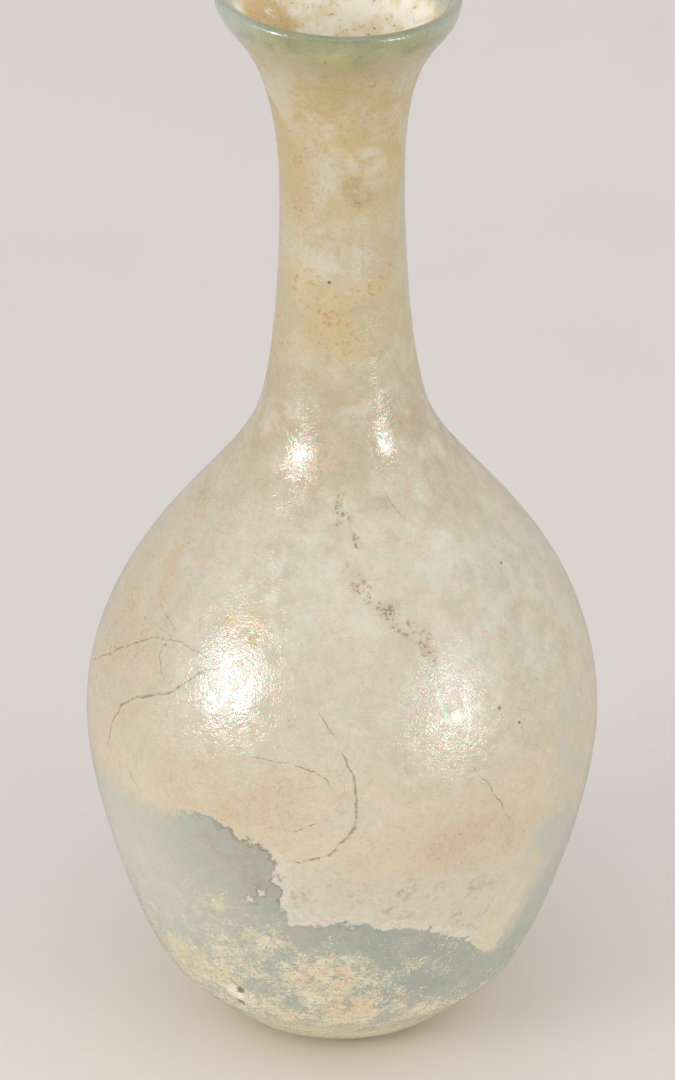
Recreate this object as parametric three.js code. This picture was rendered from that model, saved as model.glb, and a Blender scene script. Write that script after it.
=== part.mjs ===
// A free-blown glass flask for perfumed oil: round body, narrow neck, flared mouth, rounded lip.
// One hollow piece of glass, in millimetres, +Z up. The origin is the middle of the foot, on the table.
import * as THREE from "three";

// Outside of the flask, from the foot up
const footRadius = 9.5;
const footRingWidth = 3.2; // flat ring that the flask stands on
const hollowDepth = 1.1; // pushed-in middle of the underside
const heelRadius = 25.25;
const heelHeight = 10.2;
const heelSlope = 44; // degrees from upright, where the body turns in to the foot
const bellyRadius = 36.6;
const bellyHeight = 48.5;
const neckRootRadius = 12.55;
const neckRootSlope = 23; // degrees from upright, where the shoulder runs into the neck
const bodyHeight = 95.3; // table to neck root
const neckRadius = 8.65; // at the narrowest place
const neckWaistRise = 35.5; // neck root to the narrowest place
const neckLength = 64.7; // neck root to the top of the lip
const mouthRadius = 16.95;

// Thickness of the glass
const baseWall = 2.6;
const heelWall = 1.7;
const bodyWall = 1.3;
const neckWall = 1.5;
const lipThickness = 1.6;

// Small faults of handwork
const mouthTilt = 2.5; // degrees, right side low
const mouthDrift = -0.6;
const shoulderDrift = 0.4;
const outOfRound = 0.004; // share of the radius

// How full each curve is: the handles' lengths as shares of their stretch
const full = {
  foot: 0.27,
  heelBelow: 0.51,
  heelAbove: 0.115,
  bellyBelow: 0.334,
  bellyAbove: 0.45,
  rootBelow: 0.24,
  rootAbove: 0.215,
  waistBelow: 0.327,
  waistAbove: 0.807,
  mouthBelow: 0.196,
};

// Fineness of the mesh: steps on each stretch of the outline, and round the flask
const steps = { hollow: 3, foot: 6, flank: 6, shoulder: 11, root: 4, mouth: 11, lip: 5 };
const sides = 56;

const { degToRad, lerp, smoothstep } = THREE.MathUtils;
const rimHeight = bodyHeight + neckLength;
const waistHeight = bodyHeight + neckWaistRise;
const lipRadius = lipThickness / 2;

const point = (radius, height) => new THREE.Vector2(radius, height);
const slopedUp = (degrees) => {
  const angle = degToRad(degrees);
  return point(Math.sin(angle), Math.cos(angle));
};

// One curved stretch from a to b. Its handles lie along the two directions, as shares of the gap.
function stretch(a, alongA, shareA, b, alongB, shareB, count) {
  const gap = a.distanceTo(b);
  const handleA = a.clone().addScaledVector(alongA, shareA * gap);
  const handleB = b.clone().addScaledVector(alongB, -shareB * gap);
  return new THREE.CubicBezierCurve(a, handleA, handleB, b).getPoints(count).slice(1);
}

// The outside, from the foot ring's outer edge to the widest place of the lip
function outsideOutline() {
  const upright = point(0, 1);
  const level = point(1, 0);
  const heelWay = slopedUp(heelSlope);
  const rootWay = slopedUp(-neckRootSlope);
  const foot = point(footRadius, 0);
  const heel = point(heelRadius, heelHeight);
  const belly = point(bellyRadius, bellyHeight);
  const root = point(neckRootRadius, bodyHeight);
  const waist = point(neckRadius, waistHeight);
  const mouth = point(mouthRadius, rimHeight - lipRadius);
  return [
    foot,
    ...stretch(foot, level, full.foot, heel, heelWay, full.heelBelow, steps.foot),
    ...stretch(heel, heelWay, full.heelAbove, belly, upright, full.bellyBelow, steps.flank),
    ...stretch(belly, upright, full.bellyAbove, root, rootWay, full.rootBelow, steps.shoulder),
    ...stretch(root, rootWay, full.rootAbove, waist, upright, full.waistBelow, steps.root),
    ...stretch(waist, upright, full.waistAbove, mouth, upright, full.mouthBelow, steps.mouth),
  ];
}

// Thickness of the glass at a height of the outside
function wallAt(height) {
  const low = lerp(baseWall, heelWall, smoothstep(height, 0, heelHeight));
  const body = lerp(low, bodyWall, smoothstep(height, heelHeight, bellyHeight));
  const neck = lerp(body, neckWall, smoothstep(height, bellyHeight, bodyHeight));
  return lerp(neck, lipThickness, smoothstep(height, waistHeight, rimHeight - lipRadius));
}

// The inside: each outside point moved in by the thickness of the glass, square to the outline
function insideOutline(outside) {
  return outside.map((here, i) => {
    const before = outside[Math.max(i - 1, 0)];
    const after = outside[Math.min(i + 1, outside.length - 1)];
    const along = after.clone().sub(before).normalize();
    if (i === 0) along.set(1, 0);
    if (i === outside.length - 1) along.set(0, 1);
    const inward = point(-along.y, along.x);
    return here.clone().addScaledVector(inward, wallAt(here.y));
  });
}

// The underside, from the middle out: a shallow dome pushed up inside the flat foot ring
function undersideOutline() {
  const domeRadius = footRadius - footRingWidth;
  return Array.from({ length: steps.hollow + 1 }, (_, i) => {
    const share = i / steps.hollow;
    const rise = hollowDepth * Math.cos((share * Math.PI) / 2) ** 2;
    return point(domeRadius * share, rise);
  });
}

// The fire-rounded lip: a half circle from the outside, over the top, to the inside
function lipOutline() {
  const centre = point(mouthRadius - lipRadius, rimHeight - lipRadius);
  return Array.from({ length: steps.lip - 1 }, (_, i) => {
    const angle = ((i + 1) / steps.lip) * Math.PI;
    return point(Math.cos(angle), Math.sin(angle)).multiplyScalar(lipRadius).add(centre);
  });
}

// The closed outline, from the axis under the foot, over the lip, down to the axis inside
function glassOutline() {
  const outside = outsideOutline();
  const inside = insideOutline(outside).reverse();
  const underside = undersideOutline();
  const floor = underside.map((place) => point(place.x, place.y + baseWall)).reverse();
  return [...underside, ...outside, ...lipOutline(), ...inside, ...floor];
}

// Where the axis of the flask wanders to at a height
function axisDrift(height) {
  const reach = (bodyHeight - bellyHeight) / 2;
  const fromShoulder = (height - bodyHeight) / reach + 0.5;
  const atMouth = smoothstep(height, waistHeight, rimHeight);
  return shoulderDrift * Math.exp(-fromShoulder * fromShoulder) + mouthDrift * atMouth;
}

// Moves the points of a true round to where the glassblower's hand left them
function addHandwork(geometry) {
  const position = geometry.getAttribute("position");
  const place = new THREE.Vector3();
  for (let i = 0; i < position.count; i++) {
    place.fromBufferAttribute(position, i);
    const height = place.z;
    const turn = Math.atan2(place.y, place.x);
    const swell = 1 + outOfRound * Math.sin(2 * turn);
    const tilt = degToRad(mouthTilt) * smoothstep(height, waistHeight, rimHeight);
    const across = place.x * swell;
    const x = across * Math.cos(tilt) + axisDrift(height);
    position.setXYZ(i, x, place.y * swell, height - across * Math.sin(tilt));
  }
  geometry.computeVertexNormals();
}

function blownGlass() {
  const geometry = new THREE.LatheGeometry(glassOutline(), sides);
  geometry.rotateX(Math.PI / 2);
  addHandwork(geometry);
  const material = new THREE.MeshStandardMaterial({
    color: 0xcdc6aa,
    roughness: 0.35,
    metalness: 0,
    transparent: true,
    opacity: 0.7,
  });
  const glass = new THREE.Mesh(geometry, material);
  glass.name = "glass_flask";
  return glass;
}

const flask = new THREE.Group();
flask.add(blownGlass());

export default flask;
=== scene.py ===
# A free-blown Roman flask of pale blue-green glass, weathered, with a cream deposit inside, on a pale table.
import math
from functools import partial

import bpy
import numpy as np
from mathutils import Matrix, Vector


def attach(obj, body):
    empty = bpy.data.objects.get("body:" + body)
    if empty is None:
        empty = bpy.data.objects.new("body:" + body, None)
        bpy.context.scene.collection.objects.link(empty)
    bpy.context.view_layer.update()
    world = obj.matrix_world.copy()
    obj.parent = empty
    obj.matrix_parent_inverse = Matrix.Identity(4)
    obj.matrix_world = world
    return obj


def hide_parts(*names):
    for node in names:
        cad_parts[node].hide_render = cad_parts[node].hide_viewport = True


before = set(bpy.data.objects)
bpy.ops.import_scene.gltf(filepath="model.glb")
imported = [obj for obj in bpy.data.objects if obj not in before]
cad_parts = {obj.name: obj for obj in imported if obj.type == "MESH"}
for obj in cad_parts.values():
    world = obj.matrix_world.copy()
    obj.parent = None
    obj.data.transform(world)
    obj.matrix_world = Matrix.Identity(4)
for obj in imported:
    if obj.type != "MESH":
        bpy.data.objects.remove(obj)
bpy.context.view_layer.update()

# The glass: sizes in millimetres, angles in degrees
flask = {
    "footRadius": 9.5,
    "footRingWidth": 3.2,
    "hollowDepth": 1.1,
    "heelRadius": 25.25,
    "heelHeight": 10.2,
    "heelSlope": 44,
    "bellyRadius": 36.6,
    "bellyHeight": 48.5,
    "rootRadius": 12.55,
    "rootHeight": 95.3,
    "rootSlope": 23,
    "neckRadius": 8.65,
    "waistHeight": 130.8,
    "mouthRadius": 16.95,
    "rimHeight": 160.0,
    # how full each curve of the outline is: its two handles as shares of the stretch
    "footCurve": (0.27, 0.51),
    "flankCurve": (0.115, 0.334),
    "shoulderCurve": (0.45, 0.24),
    "neckRootCurve": (0.215, 0.327),
    "neckCurve": (0.807, 0.196),
    "baseWall": 2.6,
    "heelWall": 1.7,
    "bodyWall": 1.3,
    "neckWall": 1.5,
    "lipThickness": 1.6,
    "mouthTilt": 2.5,
    "mouthDrift": -0.6,
    "shoulderDrift": 0.4,
    "outOfRound": 0.004,
    "ripple": 0.05,  # unevenness of hand-blown glass
    "rippleWaves": (3, 9, 0.16, 14),  # seed, most waves round, most radians a millimetre up, count
    "rippleFrom": (2, 12),  # sets in between these rises
    "rippleTo": (165, 176),  # and dies out between these
    "rowsUnder": 9,
    "rowsOutside": 246,
    "rowsLip": 12,
    "rowsInside": 106,
    "sides": 256,
    "frontFineness": 0.42,  # how much closer the faces stand at the front
}

# Places on the glass are (degrees round from the front, millimetres up the glass from the foot)
deposit = {
    # lower edge of the cream deposit inside, where the rest has flaked away
    "edge": [
        (-180, 50), (-176, 49), (-171, 52.5), (-166, 53), (-160, 47.5), (-155, 46), (-148, 47),
        (-143, 52), (-139, 57), (-133, 58), (-128, 55.5), (-121, 55), (-114, 52), (-108, 53.5),
        (-100, 57.5), (-92, 57), (-85, 55), (-62, 56.5), (-48, 57), (-42, 57), (-37, 59.5), (-31, 59.5),
        (-29, 58.5), (-25, 58.5), (-21, 57), (-16, 56), (-14.6, 54.5), (-14.2, 51), (-14, 46),
        (-12, 43.6), (-7, 42.5), (-6, 43.5), (2, 43), (8, 42.5), (12, 41.5), (18, 41.4), (22, 40.4),
        (28, 38), (36, 35.4), (41, 31.6), (46, 30.5), (50, 34), (54, 40), (63, 46.5), (80, 52),
        (86, 50.5), (92, 46), (99, 45), (106, 47.5), (112, 46.5), (118, 41), (126, 40), (132, 43.5),
        (139, 44), (146, 48.5), (153, 49), (160, 46), (168, 49.5), (174, 51), (180, 50),
    ],
    "blobs": [(-11, 44.6, 1.7), (-18, 48.2, 0.5), (-22, 46.4, 0.4)],  # spots left below it, with sizes
    "edgeNoise": (0.45, 5, 0.68, 0.0),
    "edgeStray": 6.0,  # from the noise's one end to the other
    "softEdge": 6.0,  # width of the edge where it fades
    "sharpEdge": 0.4,  # width where it broke off
    # degrees round between which it turns sharp, soft again, and sharper behind
    "sharpFrom": (-48, -34),
    "sharpTo": (40, 52),
    "sharpBehind": (95, 125),
    "sharpnessBehind": 0.7,
    "farthest": 60.0,  # distances from the edge are kept up to this
    # the dark line along the break, a painted shadow that the thick broken edge casts on the bare glass, and
    # crumbs of chalk: middle and half width, in millimetres past the edge
    "edgeShadowLine": (0.3, 0.32),
    "crumbs": (-0.5, 0.8),
}

# Soft patches of tone on the glass: degrees round, rise, reach aside, reach up and down, strength
stains = {
    # brown film left on the bare glass
    "smear": [(-23, 55, 7, 4.5, 1.0), (-19, 51, 5, 5, 0.8), (-30, 56.5, 4, 2.5, 0.6)],
    # milky places of the bare glass
    "milk": [
        (-60, 46, 21, 17, 1.0), (62, 46, 12, 12, 0.5), (-130, 46, 18, 9, 0.9), (152, 38, 20, 8, 0.8),
        (100, 36, 12, 6, 0.7),
    ],
    # paler places of the deposit; among them the two narrow streaks at about 23 degrees left and the small
    # spot at 40 degrees right are painted glints, and the broad patch at 70 degrees right is painted light
    # along the right flank
    "pale": [
        (-23.5, 95.5, 0.9, 5.5, 1.3), (-23.7, 89.5, 0.8, 3, 1.1), (39.7, 69.4, 1.2, 0.8, 1.3),
        (36, 84, 9, 10, 0.7), (70, 78, 12, 22, 0.6), (-16, 158, 3, 22, 0.7), (24, 156.5, 3.2, 2.2, 1.3),
        (180, 170, 40, 12, 1.0), (18, 141, 4, 5, 0.7), (-22, 139, 6, 6, 0.9), (38, 96, 14, 12, 0.5),
        (-8, 95, 12, 10, 0.5), (-11, 45, 2.2, 2.2, 1.4), (10, 47, 16, 3.5, 0.7),
    ],
    "tan": [
        (-118, 169, 5, 7, 1.5), (-70, 88, 12, 30, 0.7), (-20, 112, 8, 6, 0.6), (18, 168, 9, 9, 1.0),
        (24, 163, 4, 5, 0.9), (-42, 153, 3.0, 8, 1.3), (-8, 134, 5, 7, 0.9), (-66, 130, 4, 12, 0.6),
        (34, 141, 5, 6, 0.7), (-30, 88, 5, 4, 0.7), (20, 101, 6, 4, 0.5), (-24, 64, 16, 6, 0.7),
        (30, 55, 14, 7, 0.6), (-59, 80, 6, 5, 0.8), (-52, 77, 3, 4, 0.9), (-60, 70, 8, 6, 0.5),
        (64, 176, 12, 4, 1.2), (150, 70, 20, 14, 0.5), (-150, 100, 18, 12, 0.5), (170, 140, 9, 14, 0.8),
    ],
    "ochre": [
        (-10, 133, 3.5, 5, 1.0), (-18, 131, 3, 3, 0.8), (2, 129, 4, 3, 0.6), (-38, 137, 3, 4, 0.9),
        (25, 170, 4, 1.2, 0.9), (-30, 87, 3.5, 3, 1.0), (-28, 83, 2, 2, 0.8), (30, 137, 2.5, 2.5, 0.9),
        (140, 90, 6, 5, 0.8), (-140, 120, 5, 6, 0.8), (-82, 122, 2.5, 3, 1.4),
    ],
    # brown spots
    "stain": [
        (11, 152.5, 2.2, 2.6, 0.8), (14, 150, 1.1, 0.9, 1.2), (24, 151, 2.6, 2.4, 0.6),
        (-80, 100, 4.5, 3, 0.6), (19, 106, 2, 2, 0.5),
    ],
    # the deposit is thin, so that blue-green shows through it
    "thin": [
        (84, 171, 3.4, 7, 1.0), (80, 159, 2.2, 6, 0.8), (88, 147, 2.8, 8, 1.0), (82, 134, 2.0, 6, 0.7),
        (-76, 177, 6, 5, 0.9), (64, 63, 8, 10, 0.6), (84, 54, 9, 6, 0.7), (58, 49, 8, 7, 0.9),
        (96, 74, 7, 6, 0.5),
    ],
    "chalk": [(12, 47, 20, 5, 1.0), (-8, 49, 8, 5, 1.0), (34, 41, 8, 5, 0.8), (2, 62, 10, 3, 0.5)],
}

# Lime crust low on the outside
crust = {
    # like the stains
    "fields": [
        (-4, 31, 11, 8, 1.0), (2, 24, 12, 7, 1.0), (-14, 22, 22, 10, 0.85), (-45, 27, 24, 13, 0.85),
        (-24, 36, 12, 8, 0.7), (18, 24, 12, 6, 0.55), (14, 34, 15, 6, 0.5), (-27, 41, 7, 5, 0.6),
        (-20, 38, 8, 5, 0.75), (-32, 43, 9, 5, 0.6), (38, 20, 20, 5, 0.75), (105, 26, 24, 9, 0.8),
        (-110, 24, 36, 10, 0.8), (160, 24, 30, 12, 0.9), (-165, 34, 12, 8, 0.7),
    ],
    "foot": (3, 22),  # it covers the glass up to the first rise and ends at the second
    "relief": 0.035,
    "reliefWaves": (8, 70, 2.4, 40),  # like the ripple's
    "reliefFrom": (0.5, 2),
    "slant": 9,  # of the flecks, in degrees
    "drawnOut": (0.55, 0.55, 1.9),  # fineness of their noise to the side, to the front and up
    "bend": 3.4,  # how far a noise pulls them about
    # the noise has to pass a level to make a fleck: this high without crust, lower by the others
    "level": 0.97,
    "lowerByCrust": 0.27,
    "lowerByClump": 0.52,
    "lowerAtFoot": 0.12,
    "blister": (-31, 24.2, 1.5, 0.4),  # degrees round, rise, size, height
    "blisterRing": (2.9, 2.0),  # its pale ring starts and is full this far out
    "holes": [(-32.8, 21.7, 0.95), (-30.5, 25.5, 0.85)],
    "holeDepth": 0.5,
}

# Hair-fine dark lines in the deposit: width in millimetres, then places along the line
veins = [
    (0.34, [(-33, 81), (-38, 80), (-42, 77.5), (-46, 75), (-53, 73), (-58, 71), (-62, 68.5), (-64, 65),
            (-65, 62)]),
    (0.20, [(-84, 69), (-75, 73), (-68, 76.5), (-61, 79.5), (-55, 81.5), (-47, 82.5), (-42, 82), (-34, 82)]),
    (0.16, [(-54, 81.5), (-52, 78.5), (-49, 76.5)]),
    (0.16, [(-63, 85.5), (-58, 84.5), (-51, 83.5)]),
    (0.20, [(-21, 70), (-17, 70), (-12, 70), (-7, 69), (-3, 68), (-2, 66.5)]),
    (0.18, [(-6, 77.5), (-4, 75.5), (-2, 74)]),
    (0.42, [(0, 71.5), (2, 69.5), (3, 66.5), (3, 63.5), (3, 61), (1, 59), (-2, 56.5), (-7, 55), (-11, 54.5)]),
    (0.16, [(-11, 59.5), (-8, 60.5), (-5, 61.5)]),
    (0.18, [(30, 67.5), (32, 65.5), (35, 63), (36, 61.5), (40, 57)]),
    (0.14, [(29, 70.5), (33, 70), (36, 68)]),
    (0.16, [(22, 107.5), (23.5, 105.8), (26.5, 103.8)]),
    (0.14, [(-56, 61.5), (-52, 59.5), (-50, 58.5)]),
    (0.18, [(150, 80), (158, 76), (170, 74), (176, 68)]),
    (0.16, [(-160, 66), (-152, 70), (-140, 71), (-133, 76)]),
]

# How a line is drawn, in millimetres where nothing else is said
strokes = {
    "perDegree": 0.6,  # about, round the body
    "step": 0.9,  # from bend to bend
    "wander": (0.28, 0.16),  # of a bend: degrees round, and up
    "ends": 0.25,  # share of the width left at the two ends
    "waver": 0.4,  # of the drawn line about its middle, from the noise's one end to the other
    "reach": 2.2,  # past this a line has no width
    "farthest": 9.0,  # given where no line is near
    "seed": 40,  # of the first line, one more for each next
}

# Dark grains: degrees round, rise, size
specksOnGlass = [(39.8, 74.1, 0.35), (44.8, 70.9, 0.3), (-11.5, 138.4, 0.32), (61, 92, 0.28), (-6, 176, 0.28)]

# What the mesh keeps at each point for the materials
markNames = {
    "bare": ("bare", "sharp", "rise"),
    "tones": ("tan", "pale", "ochre"),
    "low": ("smear", "milk", "crusted"),
    "lines": ("signed", "half", "track"),
    "marks": ("stain", "chalk", "thin"),
}

# Trail of brown dots
trail = {
    "width": 1.7,
    "seed": 90,
    "places": [
        (-3, 107.5), (-2, 104.5), (3, 102), (3, 99.5), (1.5, 97), (6, 94.5), (12, 92), (16, 89.5),
        (20, 87.5), (24, 86), (23, 83.5),
    ],
}

studio = {
    "elevation": 28,
    "distance": 960,
    "focalLength": 226.0,
    "target": (-0.6, 0, 75.25),
    "lamps": [
        # degrees round from the front, elevation, distance, width, height, watts
        (-56, 18, 1800, 760, 580, 9.6),
        (52, 8, 1800, 600, 640, 5.2),
        (72, 25, 1800, 1600, 1600, 2.7),
        (-74, 25, 1800, 1600, 1600, 2.0),
        (8, 58, 2600, 2200, 1800, 3.8),
    ],
    "skyStrength": 0.95,
    "tableReach": 3000,  # from the middle to each side
}


def linear(hexColour):  # sRGB hex to linear RGBA
    parts = [int(hexColour[i : i + 2], 16) / 255 for i in (1, 3, 5)]
    return tuple(c / 12.92 if c <= 0.04045 else ((c + 0.055) / 1.055) ** 2.4 for c in parts) + (1,)


def smooth(x, low, high):  # 3t^2 - 2t^3 of the share t from low to high
    t = np.clip((np.asarray(x, float) - low) / (high - low), 0, 1)
    return t * t * (3 - 2 * t)


# One cubic stretch: (1-t)^3 a + 3(1-t)^2 t ha + 3(1-t)t^2 hb + t^3 b, with handles as shares of the gap
def stretch(a, wayA, b, wayB, shares, count=400):
    a, b, wayA, wayB = (np.array(v, float) for v in (a, b, wayA, wayB))
    gap = np.linalg.norm(b - a)
    t = np.linspace(0, 1, count + 1)[1:, None]
    handleA = a + wayA * shares[0] * gap
    handleB = b - wayB * shares[1] * gap
    return (1 - t) ** 3 * a + 3 * (1 - t) ** 2 * t * handleA + 3 * (1 - t) * t**2 * handleB + t**3 * b


def alongLine(points):
    return np.concatenate([[0], np.cumsum(np.hypot(*np.diff(points, axis=0).T))])


# Points of a line at the given distances, when its own points stand at the known ones
def pointsAt(line, known, at):
    return np.stack([np.interp(at, known, line[:, 0]), np.interp(at, known, line[:, 1])], -1)


# The outline (radius, height): outside from foot to lip, and inside moved in by the wall, square to it
def outlines(f):
    heelWay = (math.sin(math.radians(f["heelSlope"])), math.cos(math.radians(f["heelSlope"])))
    rootWay = (-math.sin(math.radians(f["rootSlope"])), math.cos(math.radians(f["rootSlope"])))
    upright, level = (0, 1), (1, 0)
    foot = (f["footRadius"], 0)
    heel = (f["heelRadius"], f["heelHeight"])
    belly = (f["bellyRadius"], f["bellyHeight"])
    root = (f["rootRadius"], f["rootHeight"])
    waist = (f["neckRadius"], f["waistHeight"])
    mouth = (f["mouthRadius"], f["rimHeight"] - f["lipThickness"] / 2)
    outside = np.vstack([
        [foot],
        stretch(foot, level, heel, heelWay, f["footCurve"]),
        stretch(heel, heelWay, belly, upright, f["flankCurve"]),
        stretch(belly, upright, root, rootWay, f["shoulderCurve"]),
        stretch(root, rootWay, waist, upright, f["neckRootCurve"]),
        stretch(waist, upright, mouth, upright, f["neckCurve"]),
    ])
    z = outside[:, 1]
    wall = f["baseWall"] + (f["heelWall"] - f["baseWall"]) * smooth(z, 0, f["heelHeight"])
    wall += (f["bodyWall"] - wall) * smooth(z, f["heelHeight"], f["bellyHeight"])
    wall += (f["neckWall"] - wall) * smooth(z, f["bellyHeight"], f["rootHeight"])
    wall += (f["lipThickness"] - wall) * smooth(z, f["waistHeight"], mouth[1])
    way = np.gradient(outside, axis=0)
    way /= np.hypot(*way.T)[:, None]
    way[0], way[-1] = level, upright
    inside = outside + np.stack([-way[:, 1], way[:, 0]], 1) * wall[:, None]
    return outside, inside


# Rows of the grid on one side of the glass: (radius, height, rise along the outside, side)
def sideRows(outline, rise, side):
    return np.column_stack([outline, rise, np.full(len(rise), float(side))])


# All rows, from the axis under the foot to the axis inside: side 0 under, 1 outside, 2 lip, 3 inside
def gridRows(f):
    outside, inside = outlines(f)
    rise = alongLine(outside)
    share = np.linspace(0, 1, f["rowsUnder"])
    domeRadius = f["footRadius"] - f["footRingWidth"]
    domeRise = f["hollowDepth"] * np.cos(share * math.pi / 2) ** 2
    under = sideRows(np.stack([domeRadius * share, domeRise], 1), np.full(len(share), -domeRadius), 0)
    up = np.linspace(0, rise[-1], f["rowsOutside"])
    wall = sideRows(pointsAt(outside, rise, up), up, 1)
    half = f["lipThickness"] / 2
    angle = np.linspace(0, math.pi, f["rowsLip"] + 2)[1:-1]
    lipRadius = f["mouthRadius"] - half + half * np.cos(angle)
    lipHeight = f["rimHeight"] - half + half * np.sin(angle)
    lip = sideRows(np.stack([lipRadius, lipHeight], 1), rise[-1] + half * angle, 2)
    down = np.linspace(rise[-1], 0, f["rowsInside"])
    lining = sideRows(pointsAt(inside, rise, down), down, 3)
    floor = under[::-1] + (0, f["baseWall"], 0, 3)
    return np.vstack([under, wall, lip, lining, floor])


# Where a hand-made round differs from a true one: the shoulder drifts aside by a bell curve of the height,
# the mouth drifts and tilts by a smooth step, and the round swells by a sine of twice the angle
def handwork(f, x, y, z):
    reach = (f["rootHeight"] - f["bellyHeight"]) / 2
    drift = f["shoulderDrift"] * np.exp(-(((z - f["rootHeight"]) / reach + 0.5) ** 2))
    drift += f["mouthDrift"] * smooth(z, f["waistHeight"], f["rimHeight"])
    swell = 1 + f["outOfRound"] * np.sin(2 * np.arctan2(y, x))
    tilt = math.radians(f["mouthTilt"]) * smooth(z, f["waistHeight"], f["rimHeight"])
    across = x * swell
    return across * np.cos(tilt) + drift, y * swell, z - across * np.sin(tilt)


# The place on the outside, in millimetres, of (degrees round from the front, rise up the glass)
def onGlass(f, turn, rise):
    outside, _ = outlines(f)
    radius, height = pointsAt(outside, alongLine(outside), rise)
    angle = math.radians(turn)
    return tuple(float(v) for v in handwork(f, radius * math.sin(angle), -radius * math.cos(angle), height))


# A seeded sum of cosines round and up the glass, about -1 to 1. It closes on itself behind.
def waves(turn, rise, seed, roundWaves, upWaves, count):
    rng = np.random.default_rng(seed)
    total = np.zeros(np.broadcast(turn, rise).shape)
    for _ in range(count):
        m = rng.integers(0, roundWaves + 1)
        n = rng.uniform(-upWaves, upWaves)
        phase = rng.uniform(0, 6.28)
        total += np.cos(m * turn + n * rise + phase)
    return total / math.sqrt(count)


# Soft round patches: the largest of strength * exp(-(distance / size)^2) over the listed places
def patches(turn, rise, radius, places):
    total = np.zeros(turn.shape)
    for atTurn, atRise, wide, high, strength in places:
        gap = (turn - math.radians(atTurn) + math.pi) % (2 * math.pi) - math.pi
        far = (gap * radius / wide) ** 2 + ((rise - atRise) / high) ** 2
        total = np.maximum(total, strength * np.exp(-far))
    return total


# Signed distance in millimetres to a wandering line, and the line's half width there (-1 far from it).
# The line's points stray by a seeded draw, and its width swells by the root of a sine from end to end.
def strokeField(turn, rise, radius, width, places, seed):
    rng = np.random.default_rng(seed)
    line = np.array(places, float)
    size = np.hypot(np.diff(line[:, 0]) * strokes["perDegree"], np.diff(line[:, 1]))
    at = np.concatenate([[0], np.cumsum(size)])
    count = max(int(at[-1] / strokes["step"]), 4)
    path = pointsAt(line, at, np.linspace(0, at[-1], count))
    path[1:-1] = (path[:-2] + path[1:-1] * 2 + path[2:]) / 4
    path += rng.normal(0, 1, path.shape) * strokes["wander"]
    distance = np.full(turn.shape, strokes["farthest"])
    signed = distance.copy()
    half = np.full(turn.shape, -1.0)
    for i in range(count - 1):
        (t0, s0), (t1, s1) = path[i], path[i + 1]
        ax = (turn - math.radians(t0)) * radius
        ay = rise - s0
        bx = math.radians(t1 - t0) * radius
        by = s1 - s0
        share = np.clip((ax * bx + ay * by) / (bx * bx + by * by), 0, 1)
        gap = np.hypot(ax - share * bx, ay - share * by)
        near = gap < distance
        distance = np.where(near, gap, distance)
        signed = np.where(near, gap * np.sign(ax * by - ay * bx), signed)
        along = (i + share) / (count - 1)
        swell = strokes["ends"] + (1 - strokes["ends"]) * np.sin(math.pi * along) ** 0.5
        within = near & (gap < strokes["reach"])
        half = np.where(within, width / 2 * swell, np.where(near, -1.0, half))
    return signed, half


# Signed distance in millimetres to the deposit's lower edge: above 0 where the glass is bare
def bareField(turn, rise, radius, edge, blobs):
    edge = np.array(edge, float)
    below = np.sign(np.interp(np.degrees(turn), edge[:, 0], edge[:, 1]) - rise)
    far = np.full(turn.shape, deposit["farthest"])
    for (t0, s0), (t1, s1) in zip(edge[:-1], edge[1:]):
        ax = (turn - math.radians(t0)) * radius
        ay = rise - s0
        bx = math.radians(t1 - t0) * radius
        by = s1 - s0
        share = np.clip((ax * bx + ay * by) / (bx * bx + by * by), 0, 1)
        far = np.minimum(far, np.hypot(ax - share * bx, ay - share * by))
    field = far * below
    for atTurn, atRise, size in blobs:
        field = np.minimum(field, np.hypot((turn - math.radians(atTurn)) * radius, rise - atRise) - size)
    return field


# Relief in millimetres: broad ripple and fine crust, which are sums of waves ended by smooth steps, and one
# burst blister with its holes, which are soft round patches
def reliefField(f, turn, rise, radius, outer, crusted):
    push = outer * smooth(rise, *f["rippleFrom"]) * (1 - smooth(rise, *f["rippleTo"]))
    relief = f["ripple"] * waves(turn, rise, *f["rippleWaves"]) * push
    grain = waves(turn, rise, *crust["reliefWaves"])
    relief += crust["relief"] * crusted * grain * outer * smooth(rise, *crust["reliefFrom"])
    atTurn, atRise, size, tall = crust["blister"]
    relief += patches(turn, rise, radius, [(atTurn, atRise, size, size, tall)]) * outer
    for atTurn, atRise, size in crust["holes"]:
        relief -= patches(turn, rise, radius, [(atTurn, atRise, size, size, crust["holeDepth"])]) * outer
    return relief


# The nearest hair line at each point, and how near the middle of the trail: 1 - distance / width
def lineMarks(turn, rise, radius):
    distance = np.full(turn.shape, strokes["farthest"])
    signed = distance.copy()
    half = np.full(turn.shape, -1.0)
    for number, (width, places) in enumerate(veins):
        d, h = strokeField(turn, rise, radius, width, places, strokes["seed"] + number)
        near = np.abs(d) < distance
        signed = np.where(near, d, signed)
        half = np.where(near, h, half)
        distance = np.minimum(np.abs(d), distance)
    d, h = strokeField(turn, rise, radius, trail["width"], trail["places"], trail["seed"])
    track = np.where(h > 0, np.clip(1 - np.abs(d) / trail["width"], 0, 1), 0)
    return {"signed": signed, "half": half, "track": track}


# All the marks that the materials need, by name, over the grid
def glassMarks(turn, rise, radius):
    degrees = np.degrees(turn)
    front = smooth(degrees, *deposit["sharpFrom"]) * (1 - smooth(degrees, *deposit["sharpTo"]))
    behind = deposit["sharpnessBehind"] * smooth(np.abs(degrees), *deposit["sharpBehind"])
    marks = {name: patches(turn, rise, radius, places) for name, places in stains.items()}
    marks["bare"] = bareField(turn, rise, radius, deposit["edge"], deposit["blobs"])
    marks["sharp"] = np.maximum(front, behind)
    marks["rise"] = rise
    marks.update(lineMarks(turn, rise, radius))
    return marks


# Values of the grid point by point. The first and last rows are single points on the axis and come last.
def perPoint(values):
    ends = np.array([values[0].mean(0), values[-1].mean(0)])
    return np.concatenate([values[1:-1].reshape(-1, values.shape[2]), ends])


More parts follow.
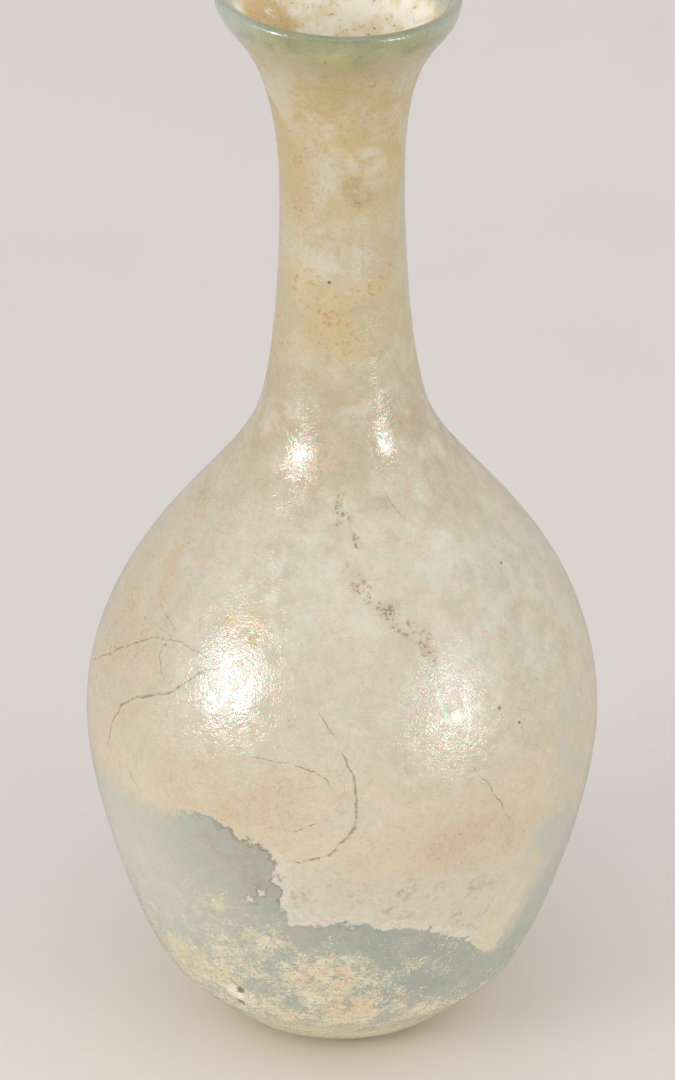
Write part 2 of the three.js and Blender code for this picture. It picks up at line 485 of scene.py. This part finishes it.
# One closed mesh over the grid, places in millimetres. Faces inside the glass take the second material.
def gridMesh(places, side):
    count, n = len(places) - 2, places.shape[1]
    i, j = np.meshgrid(np.arange(count - 1), np.arange(n), indexing="ij")
    k = (j + 1) % n
    quads = np.stack([i * n + j, i * n + k, (i + 1) * n + k, (i + 1) * n + j], -1).reshape(-1, 4)
    ring = np.arange(n)
    after = (ring + 1) % n
    low = np.stack([np.full(n, count * n), after, ring], 1)
    top = (count - 1) * n
    high = np.stack([np.full(n, count * n + 1), top + ring, top + after], 1)
    corners = np.concatenate([quads.ravel(), low.ravel(), high.ravel()])
    starts = np.concatenate([np.arange(len(quads)) * 4, len(quads) * 4 + np.arange(2 * n) * 3])
    inner = (side[1:-2] == 3) | (side[2:-1] == 3)
    slots = np.concatenate([np.repeat(inner, n), np.zeros(n), np.ones(n)])
    mesh = bpy.data.meshes.new("blownFlask")
    mesh.vertices.add(count * n + 2)
    mesh.vertices.foreach_set("co", perPoint(places).ravel() / 1000)
    mesh.loops.add(len(corners))
    mesh.loops.foreach_set("vertex_index", corners)
    mesh.polygons.add(len(starts))
    mesh.polygons.foreach_set("loop_start", starts)
    mesh.polygons.foreach_set("material_index", slots.astype(np.int32))
    mesh.update(calc_edges=True)
    mesh.validate()
    mesh.polygons.foreach_set("use_smooth", np.ones(len(mesh.polygons), bool))
    return mesh


def buildFlask(f):
    rows = gridRows(f)
    radius, height, up, side = (rows[:, i : i + 1] for i in range(4))
    share = np.linspace(-0.5, 0.5, f["sides"] + 1)[:-1]
    angle = 2 * math.pi * share - f["frontFineness"] * np.sin(2 * math.pi * share)
    turn = np.broadcast_to(angle, (len(rows), len(angle)))
    rise = np.broadcast_to(up, turn.shape)
    radiusAt = np.maximum(np.broadcast_to(radius, turn.shape), 0.01)
    outer = (side == 1) * np.ones_like(turn)
    crusted = np.clip(patches(turn, rise, radiusAt, crust["fields"]), 0, 1)
    crusted = np.maximum(crusted, outer * (1 - smooth(rise, *crust["foot"])))
    relief = reliefField(f, turn, rise, radiusAt, outer, crusted)
    # the relief stands out square to the outline
    slope = np.gradient(rows[:, :2], axis=0)
    slope /= np.maximum(np.hypot(*slope.T), 1e-9)[:, None]
    r = radius + relief * slope[:, 1:2]
    z = height - relief * slope[:, 0:1]
    places = np.stack(handwork(f, r * np.sin(turn), -r * np.cos(turn), z), -1)
    mesh = gridMesh(places, rows[:, 3])
    marks = {**glassMarks(turn, rise, radiusAt), "crusted": crusted}
    for name, parts in markNames.items():
        values = perPoint(np.stack([marks[part] for part in parts], -1))
        mesh.attributes.new(name, "FLOAT_VECTOR", "POINT").data.foreach_set("vector", values.ravel())
    flaskObject = bpy.data.objects.new("blown_flask", mesh)
    bpy.context.scene.collection.objects.link(flaskObject)
    return flaskObject


# Adds a shader node: values fill its inputs in order, or by name from a dictionary. Gives back one output.
def addNode(tree, kind, *values, output=0, **settings):
    node = tree.nodes.new("ShaderNode" + kind)
    for name, value in settings.items():
        setattr(node, name, value)
    named = values[0] if values and isinstance(values[0], dict) else dict(enumerate(values))
    for key, value in named.items():
        if isinstance(value, bpy.types.NodeSocket):
            tree.links.new(value, node.inputs[key])
        else:
            node.inputs[key].default_value = value
    return node.outputs[output] if len(node.outputs) else node


def newMaterial(name):
    material = bpy.data.materials.new(name)
    material.use_nodes = True
    material.node_tree.nodes.clear()
    return material, material.node_tree


# A mask: a strength times smooth steps, each 0 at low and 1 at high. Low may be the larger of the two.
def stepMask(tree, strength, *steps):
    mask = strength
    for value, low, high in steps:
        step = addNode(tree, "MapRange", value, low, high, 0, 1, interpolation_type="SMOOTHSTEP")
        mask = addNode(tree, "Math", mask, step, operation="MULTIPLY")
    return mask


# Lays tones over a colour, one after the other, each through its mask
def layTones(tree, colour, layers):
    for mask, tone in layers:
        colour = addNode(tree, "Mix", {0: mask, 6: colour, 7: linear(tone)}, output=2, data_type="RGBA")
    return colour


# Noises on the glass, from a dictionary of name: (features per millimetre, octaves, roughness, stir)
def makePatterns(tree, place, patterns):
    made = {}
    for name, (scale, octaves, rough, stir) in patterns.items():
        inputs = {"Vector": place, "Scale": scale, "Detail": octaves, "Roughness": rough, "Distortion": stir}
        made[name] = addNode(tree, "TexNoise", inputs)
    return made


# Places in millimetres, the marks kept on the mesh, and the mask of the window that the deposit left
def readGlass(tree, patterns):
    place = addNode(tree, "TexCoord", output="Object")
    place = addNode(tree, "VectorMath", place, (1000, 1000, 1000), operation="MULTIPLY")
    m = {"place": place, **makePatterns(tree, place, patterns)}
    for name, parts in markNames.items():
        vector = addNode(tree, "Attribute", output="Vector", attribute_name=name)
        for axis, part in enumerate(parts):
            m[part] = addNode(tree, "SeparateXYZ", vector, output=axis)
    stray, soft, crisp = (deposit[name] for name in ("edgeStray", "softEdge", "sharpEdge"))
    ragged = makePatterns(tree, place, {"ragged": deposit["edgeNoise"]})["ragged"]
    ragged = addNode(tree, "Math", ragged, stray, -stray / 2, operation="MULTIPLY_ADD")
    m["depth"] = addNode(tree, "Math", m["bare"], ragged, operation="ADD")
    softness = addNode(tree, "Math", m["sharp"], crisp - soft, soft, operation="MULTIPLY_ADD")
    window = addNode(tree, "Math", m["depth"], softness, operation="DIVIDE")
    m["window"] = addNode(tree, "Math", window, 0.5, operation="ADD", use_clamp=True)
    return m


# Distance in millimetres from a place on the outside of the glass, given as (degrees round, rise)
def farFrom(tree, place, turn, rise):
    x, y, z = onGlass(flask, turn, rise)
    return addNode(tree, "VectorMath", place, (x, y, z), output="Value", operation="DISTANCE")


# Noises of the skin
glassSkin = {
    "clouds": (0.06, 3, 0.6, 0.0),  # broad drifts of tone
    "mottle": (0.2, 4, 0.6, 0.0),
    "fine": (1.2, 3, 0.6, 0.0),
    "specks": (1.9, 2, 0.7, 0.0),
    "breaks": (0.33, 2, 0.6, 0.0),  # where lines and spots leave off
    "grit": (2.7, 2, 0.75, 0.0),  # pits are finer on the real glass, drawn this coarse to show
    "lumps": (0.55, 2, 0.6, 0.0),  # unevenness that bends the reflections
    "patch": (0.42, 3, 0.7, 0.0),  # where the skin is pitted
    "film": (0.4, 5, 0.8, 0.0),  # thickness of the iridescent skin, broken into grains
    "wander": (1.5, 1, 0.55, 0.0),  # bends the hair lines
    "threads": (0.5, 3, 0.6, 0.0),  # cracks in the tan stain
}

# The skin's gloss and clearness
gloss = {
    "roughness": 0.06,  # of whole skin
    "pittedMore": 0.19,  # added where the skin is pitted
    "crustMore": 0.4,  # added on the crust
    "pitDepth": 0.035,  # millimetres, as the next three
    "pittedDepth": 0.1,
    "lumpDepth": 0.03,
    "wornDepth": 0.05,
    "wornPlace": (25.5, 76.5),  # here the shine on the right of the belly breaks into sparks
    "wornReach": (12, 4),
    "filmSpread": 1400.0,  # nanometres from the noise's one end to the other
    "filmStart": -230.0,
    "filmThinnest": 25.0,
    "filmIor": 2.15,
    "clearBare": 0.45,  # share of light let through where the glass is bare
    "clearLostToMilk": 0.3,
    "clearLip": 0.85,
    "clearLeast": 0.06,
    "throughDeposit": 0.26,  # share let through as by chalk
    "lip": (178.5, 185.5),  # rises over which the deposit gives way to clean glass
    "nearLip": (168, 184),
    "lipStray": 10.0,  # millimetres that the mottle moves those rises by
    # the paling of the lip towards its sides is a painted reflection, not a change in the glass
    "lipReflectionSides": (9, 16),  # millimetres aside over which the olive pales
}


# Blown blue-green glass, weathered in the ground. What shows is mostly the cream deposit behind a glossy
# skin that has pitted and gone iridescent, so the shine breaks into coloured sparks.
def weatheredGlass():
    material, tree = newMaterial("weathered blown glass")
    add, mask, lay = partial(addNode, tree), partial(stepMask, tree), partial(layTones, tree)
    m = readGlass(tree, glassSkin)
    place = m["place"]
    colour = lay(linear("#D9D2BA"), [
        (mask(1, (m["clouds"], 0.36, 0.64)), "#DFD4BC"),
        (mask(0.42, (m["mottle"], 0.48, 0.68)), "#E8E3D2"),
        (mask(0.36, (m["mottle"], 0.46, 0.3)), "#C9BD98"),
        (mask(0.3, (m["clouds"], 0.5, 0.36), (m["lumps"], 0.45, 0.6)), "#EFEBDD"),
        (mask(0.65, (m["rise"], 82, 50)), "#F9E8C8"),  # warm cream low down
        (mask(0.6, (m["rise"], 94, 112), (m["mottle"], 0.66, 0.4)), "#C5B48A"),  # browner shoulder
        (mask(0.75, (m["rise"], 116, 132)), "#D9CDA2"),  # the neck is warmer than the body
        (mask(0.85, (m["rise"], 142, 162)), "#D6BE7F"),
        (mask(0.55, (m["rise"], 118, 140), (m["mottle"], 0.47, 0.62)), "#DBD4B2"),
        (mask(0.75, (m["tan"], 0.05, 1.0), (m["mottle"], 0.4, 0.58)), "#DDBE8C"),
        # pale places, among them painted glints and painted light along the right flank
        (mask(0.6, (m["pale"], 0.1, 0.9), (m["mottle"], 0.4, 0.56)), "#E8E7D6"),
        (mask(0.85, (m["chalk"], 0.1, 0.7), (m["mottle"], 0.32, 0.52)), "#E7E3D0"),
        (mask(0.45, (m["chalk"], 0.2, 0.8), (m["breaks"], 0.48, 0.64), (m["fine"], 0.44, 0.56)), "#ADA78F"),
        (mask(0.75, (m["thin"], 0.1, 0.8), (m["mottle"], 0.36, 0.5)), "#C6D5CB"),
        (mask(0.22, (m["fine"], 0.54, 0.7)), "#B79F74"),
        (mask(0.14, (m["specks"], 0.52, 0.66)), "#FBF4E2"),
        (mask(0.5, (m["ochre"], 0.1, 0.7), (m["mottle"], 0.38, 0.5)), "#E3CA8E"),
        (mask(0.6, (m["ochre"], 0.1, 0.8), (m["fine"], 0.54, 0.64)), "#C29B4E"),
        (mask(0.42, (m["stain"], 0.25, 0.6), (m["fine"], 0.36, 0.52)), "#B59A6E"),
        (mask(0.4, (m["stain"], 0.85, 1.0), (m["fine"], 0.4, 0.5)), "#86694C"),
        (mask(0.85, (m["track"], 0.05, 0.7), (m["specks"], 0.5, 0.56), (m["breaks"], 0.42, 0.54)), "#7E6A32"),
        (mask(0.25, (m["track"], 0.0, 0.8), (m["breaks"], 0.38, 0.6)), "#C2A06C"),
    ])
    # brown threads where the tan stain has crackled
    thread = add("Math", m["threads"], 0.5, 0.012, operation="COMPARE")
    thread = mask(0.5, (thread, 0, 1), (m["tan"], 0.15, 0.6), (m["fine"], 0.4, 0.55))
    thread = mask(thread, (m["mottle"], 0.44, 0.54))
    colour = lay(colour, [(thread, "#A2906A")])
    # hair-fine dark lines, broken up here and there
    wander = add("Math", m["wander"], strokes["waver"], -strokes["waver"] / 2, operation="MULTIPLY_ADD")
    off = add("Math", add("Math", m["signed"], wander, operation="ADD"), operation="ABSOLUTE")
    inside = add("Math", m["half"], off, operation="SUBTRACT")
    line = mask(0.65, (inside, -0.08, 0.07), (m["half"], 0.0, 0.03), (m["fine"], 0.32, 0.56))
    colour = lay(colour, [(line, "#6B6248")])
    # bare glass where the deposit has flaked away, milky in places
    bareTone = lay(linear("#C8D4CA"), [
        (m["milk"], "#E9E8DA"),
        (mask(0.62, (m["smear"], 0.1, 0.8), (m["mottle"], 0.25, 0.5)), "#CFC1B0"),
        (mask(0.4, (m["mottle"], 0.46, 0.62)), "#DDDFCB"),
        (mask(0.25, (m["fine"], 0.52, 0.66)), "#F0EFE0"),
        # painted light: lighter towards the foot, standing in for the light that comes through the glass
        # there
        (mask(0.85, (m["rise"], 26, 6)), "#F8EBC2"),
    ])
    body = add("Mix", {0: m["window"], 6: colour, 7: bareTone}, output=2, data_type="RGBA")
    # painted shadow: a dark line along the deposit's broken edge, where the thick edge would shade the bare
    # glass, and pale crumbs beside it
    edge = add("Math", m["depth"], *deposit["edgeShadowLine"], operation="COMPARE")
    edge = add("Math", edge, m["sharp"], operation="MULTIPLY")
    crumbs = add("Math", m["depth"], *deposit["crumbs"], operation="COMPARE")
    body = lay(body, [
        (mask(0.4, (edge, 0, 1), (m["smear"], 0.05, 0.3)), "#857A6C"),
        (mask(0.25, (edge, 0, 1), (m["breaks"], 0.4, 0.6)), "#8A8270"),
        (mask(0.8, (crumbs, 0, 1), (m["chalk"], 0.1, 0.4), (m["fine"], 0.42, 0.54)), "#F7F2E4"),
    ])
    # crust: cream and orange flecks drawn out round the body with a slant, in clumps
    bend = add("TexNoise", {"Vector": place, "Scale": 0.6, "Detail": 2}, output="Color")
    bend = add("VectorMath", bend, (crust["bend"],) * 3, operation="MULTIPLY")
    drawn = add("VectorMath", place, bend, operation="ADD")
    slant = (0, math.radians(crust["slant"]), 0)
    drawn = add("Mapping", {"Vector": drawn, "Rotation": slant, "Scale": crust["drawnOut"]})
    crustNoise = makePatterns(tree, drawn, {
        "fleck": (1.35, 4, 0.8, 0.0),
        "small": (3.0, 3, 0.75, 0.0),
        "gaps": (1.7, 3, 0.7, 0.0),
    })
    # faint streaks of the same slant in the deposit above
    streaks = mask(1, (m["window"], 1, 0), (m["rise"], 42, 56), (m["rise"], 86, 66))
    body = lay(body, [
        (mask(0.16, (streaks, 0, 1), (crustNoise["gaps"], 0.51, 0.6)), "#FDF3DC"),
        (mask(0.16, (streaks, 0, 1), (crustNoise["gaps"], 0.45, 0.36)), "#D2BC90"),
    ])
    clump = makePatterns(tree, place, {"clump": (0.28, 3, 0.65, 0.0)})["clump"]
    level = add("Math", m["crusted"], -crust["lowerByCrust"], crust["level"], operation="MULTIPLY_ADD")
    level = add("Math", clump, -crust["lowerByClump"], level, operation="MULTIPLY_ADD")
    level = add("Math", level, mask(crust["lowerAtFoot"], (m["rise"], 22, 8)), operation="SUBTRACT")
    big = mask(1, (add("Math", crustNoise["fleck"], level, operation="SUBTRACT"), -0.012, 0.02))
    small = mask(0.85, (add("Math", crustNoise["small"], level, operation="SUBTRACT"), -0.02, 0.03))
    flecks = add("Math", big, small, operation="MAXIMUM")
    flecks = mask(flecks, (m["crusted"], 0.06, 0.3), (crustNoise["gaps"], 0.4, 0.47))
    fleckTone = lay(linear("#F4EAC9"), [
        (mask(0.6, (m["breaks"], 0.44, 0.6)), "#E9DDA8"),
        # painted light: flecks lighter towards the foot, standing in for the light that comes through the
        # glass there
        (mask(0.8, (m["rise"], 26, 8)), "#FFF4CF"),
        (mask(0.85, (crustNoise["small"], 0.5, 0.57), (m["crusted"], 0.76, 0.95)), "#E6B06C"),
    ])
    body = add("Mix", {0: flecks, 6: body, 7: fleckTone}, output=2, data_type="RGBA")
    # small marks, fading in from their size to a share of it: dark grains, and the blister with its holes
    for turn, rise, size in specksOnGlass:
        body = lay(body, [(mask(0.85, (farFrom(tree, place, turn, rise), size, size * 0.6)), "#5E4C38")])
    blisterTurn, blisterRise, *_ = crust["blister"]
    fromBlister = farFrom(tree, place, blisterTurn, blisterRise)
    body = lay(body, [(mask(0.95, (fromBlister, *crust["blisterRing"])), "#FBF6E4")])
    for turn, rise, size in crust["holes"]:
        body = lay(body, [(mask(0.9, (farFrom(tree, place, turn, rise), size, size * 0.5)), "#6A5233")])
    # the lip is clean, thick glass: olive at the front, and paler towards the sides by a painted reflection
    # of the bright room on the turning lip
    x = add("Math", add("SeparateXYZ", place, output=0), operation="ABSOLUTE")
    upTo = add("Math", m["mottle"], gloss["lipStray"], m["rise"], operation="MULTIPLY_ADD")
    lipToneAndReflection = lay(linear("#B2B97E"), [(mask(1, (x, *gloss["lipReflectionSides"])), "#DDE5DB")])
    nearLip = mask(0.5, (upTo, *gloss["nearLip"]))
    lip = mask(1, (upTo, *gloss["lip"]))
    body = lay(body, [(nearLip, "#BFC0A0")])
    body = add("Mix", {0: lip, 6: body, 7: lipToneAndReflection}, output=2, data_type="RGBA")
    # how much shows through: most at the lip and where the glass is bare
    clear = add("Math", m["milk"], -gloss["clearLostToMilk"], gloss["clearBare"], operation="MULTIPLY_ADD")
    clear = mask(add("Math", clear, m["window"], operation="MULTIPLY"), (m["rise"], 0, 28))
    clear = add("Math", clear, mask(gloss["clearLip"], (lip, 0, 1)), operation="MAXIMUM")
    clear = add("Math", clear, gloss["clearLeast"], operation="MAXIMUM")
    clear = mask(clear, (flecks, 1, 0))
    # gloss, broken by patches of pitted, iridescent skin
    patch = mask(1, (m["patch"], 0.4, 0.62))
    roughness = add("Math", patch, gloss["pittedMore"], gloss["roughness"], operation="MULTIPLY_ADD")
    roughness = add("Math", flecks, gloss["crustMore"], roughness, operation="MULTIPLY_ADD")
    worn = mask(gloss["wornDepth"], (farFrom(tree, place, *gloss["wornPlace"]), *gloss["wornReach"]))
    pitDepth = add("Math", patch, gloss["pittedDepth"], gloss["pitDepth"], operation="MULTIPLY_ADD")
    pitDepth = add("Math", pitDepth, worn, operation="ADD")
    pits = add("Math", m["grit"], pitDepth, operation="MULTIPLY")
    height = add("Math", m["lumps"], gloss["lumpDepth"], pits, operation="MULTIPLY_ADD")
    bump = add("Bump", {"Height": height, "Strength": 0.6, "Distance": 0.001})
    # the film stops short at the lip, because a slow end would draw rings of colour there
    film = add("Math", m["film"], gloss["filmSpread"], gloss["filmStart"], operation="MULTIPLY_ADD")
    film = add("Math", film, add("Math", lip, 0.5, operation="LESS_THAN"), operation="MULTIPLY")
    film = add("Math", film, gloss["filmThinnest"], operation="MAXIMUM")
    skin = add("BsdfPrincipled", {
        "Base Color": body,
        "Roughness": roughness,
        "IOR": 1.5,
        "Transmission Weight": clear,
        "Thin Film Thickness": film,
        "Thin Film IOR": gloss["filmIor"],
        "Normal": bump,
    })
    # the deposit lets part of the light through to the other side, as thin chalk does
    through = add("BsdfTranslucent", {"Color": body})
    share = mask(gloss["throughDeposit"], (m["rise"], 8, 60), (clear, 1, 0))
    add("OutputMaterial", {"Surface": add("MixShader", share, skin, through)})
    return material


# Noises of the lining
chalkLining = {
    "mottle": (0.28, 5, 0.62, 0.3),
    "fine": (1.4, 4, 0.6, 0.0),
    "specks": (1.6, 3, 0.65, 0.0),
}


# Lime deposit grown on the inside of the glass: matt chalk that lets some light through
def limeLining():
    material, tree = newMaterial("lime deposit inside the glass")
    add, mask, lay = partial(addNode, tree), partial(stepMask, tree), partial(layTones, tree)
    m = readGlass(tree, chalkLining)
    colour = lay(linear("#FBF6EA"), [
        (mask(0.85, (m["mottle"], 0.44, 0.6)), "#EEDDB8"),
        (mask(0.5, (m["fine"], 0.52, 0.7)), "#F6F1E4"),
        (mask(0.85, (m["tan"], 0.1, 0.9), (m["mottle"], 0.34, 0.5)), "#CFB27A"),
        (mask(0.7, (m["specks"], 0.58, 0.66), (m["mottle"], 0.42, 0.56)), "#A08352"),
    ])
    lip = mask(1, (m["rise"], 174, 177.5))
    bare = add("Math", m["window"], lip, operation="MAXIMUM")
    body = add("Mix", {0: bare, 6: colour, 7: linear("#E6EFE6")}, output=2, data_type="RGBA")
    skin = add("BsdfPrincipled", {
        "Base Color": body,
        "Roughness": add("Math", bare, -0.4, 0.55, operation="MULTIPLY_ADD"),
        "IOR": 1.5,
        "Transmission Weight": add("Math", bare, 0.9, operation="MULTIPLY"),
    })
    through = add("BsdfTranslucent", {"Color": colour})
    share = mask(0.5, (bare, 1, 0), (m["rise"], 200, 90))
    add("OutputMaterial", {"Surface": add("MixShader", share, skin, through)})
    return material


# Matt paper, painted lighter and a little warmer towards the eye, as a painted pool of light on its front
def buildStage(s):
    reach = s["tableReach"] / 1000
    corners = [(-reach, -reach, 0), (reach, -reach, 0), (reach, reach, 0), (-reach, reach, 0)]
    mesh = bpy.data.meshes.new("table")
    mesh.from_pydata(corners, [], [(0, 1, 2, 3)])
    table = bpy.data.objects.new("table", mesh)
    bpy.context.scene.collection.objects.link(table)
    material, tree = newMaterial("pale paper backdrop")
    place = addNode(tree, "TexCoord", output="Object")
    clouds = makePatterns(tree, place, {"clouds": (9.0, 3, 0.55, 0.0)})["clouds"]
    y = addNode(tree, "SeparateXYZ", place, output=1)
    tone = layTones(tree, linear("#D0CBC8"), [
        (stepMask(tree, 1, (clouds, 0.3, 0.7)), "#D3CECC"),
        # painted light: the front of the paper, towards the eye, lighter and warmer
        (stepMask(tree, 1, (y, 0.12, -0.04)), "#DCD4CE"),
    ])
    matt = {"Base Color": tone, "Roughness": 0.85, "Specular IOR Level": 0.1}
    addNode(tree, "OutputMaterial", {"Surface": addNode(tree, "BsdfPrincipled", matt)})
    mesh.materials.append(material)


def onSphere(turn, elevation, distance):
    t, e = math.radians(turn), math.radians(elevation)
    return Vector((math.sin(t) * math.cos(e), -math.cos(t) * math.cos(e), math.sin(e))) * distance


def buildStudio(s):
    scene = bpy.context.scene
    target = Vector(s["target"]) / 1000
    for i, (turn, elevation, distance, width, height, watts) in enumerate(s["lamps"]):
        lamp = bpy.data.lights.new(f"softbox{i + 1}", "AREA")
        lamp.shape = "ELLIPSE"
        lamp.size, lamp.size_y = width / 1000, height / 1000
        lamp.energy = watts
        light = bpy.data.objects.new(lamp.name, lamp)
        light.location = target + onSphere(turn, elevation, distance / 1000)
        light.rotation_euler = (target - light.location).to_track_quat("-Z", "Y").to_euler()
        scene.collection.objects.link(light)
    world = bpy.data.worlds.new("studio room")
    world.use_nodes = True
    background = world.node_tree.nodes["Background"]
    background.inputs["Color"].default_value = linear("#F9F8F7")
    background.inputs["Strength"].default_value = s["skyStrength"]
    scene.world = world
    camera = bpy.data.cameras.new("camera")
    camera.lens = s["focalLength"]
    camera.sensor_width = 36
    camera.clip_start, camera.clip_end = 0.05, 20
    holder = bpy.data.objects.new("camera", camera)
    holder.location = target + onSphere(0, s["elevation"], s["distance"] / 1000)
    holder.rotation_euler = (target - holder.location).to_track_quat("-Z", "Y").to_euler()
    scene.collection.objects.link(holder)
    scene.camera = holder
    scene.view_settings.view_transform = "Standard"


blownFlask = buildFlask(flask)
print("glass: wall built")
blownFlask.data.materials.append(weatheredGlass())
blownFlask.data.materials.append(limeLining())
print("glass: materials made")
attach(blownFlask, "root")
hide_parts("glass_flask")
buildStage(studio)
buildStudio(studio)
print("studio: table, lamps and camera set")
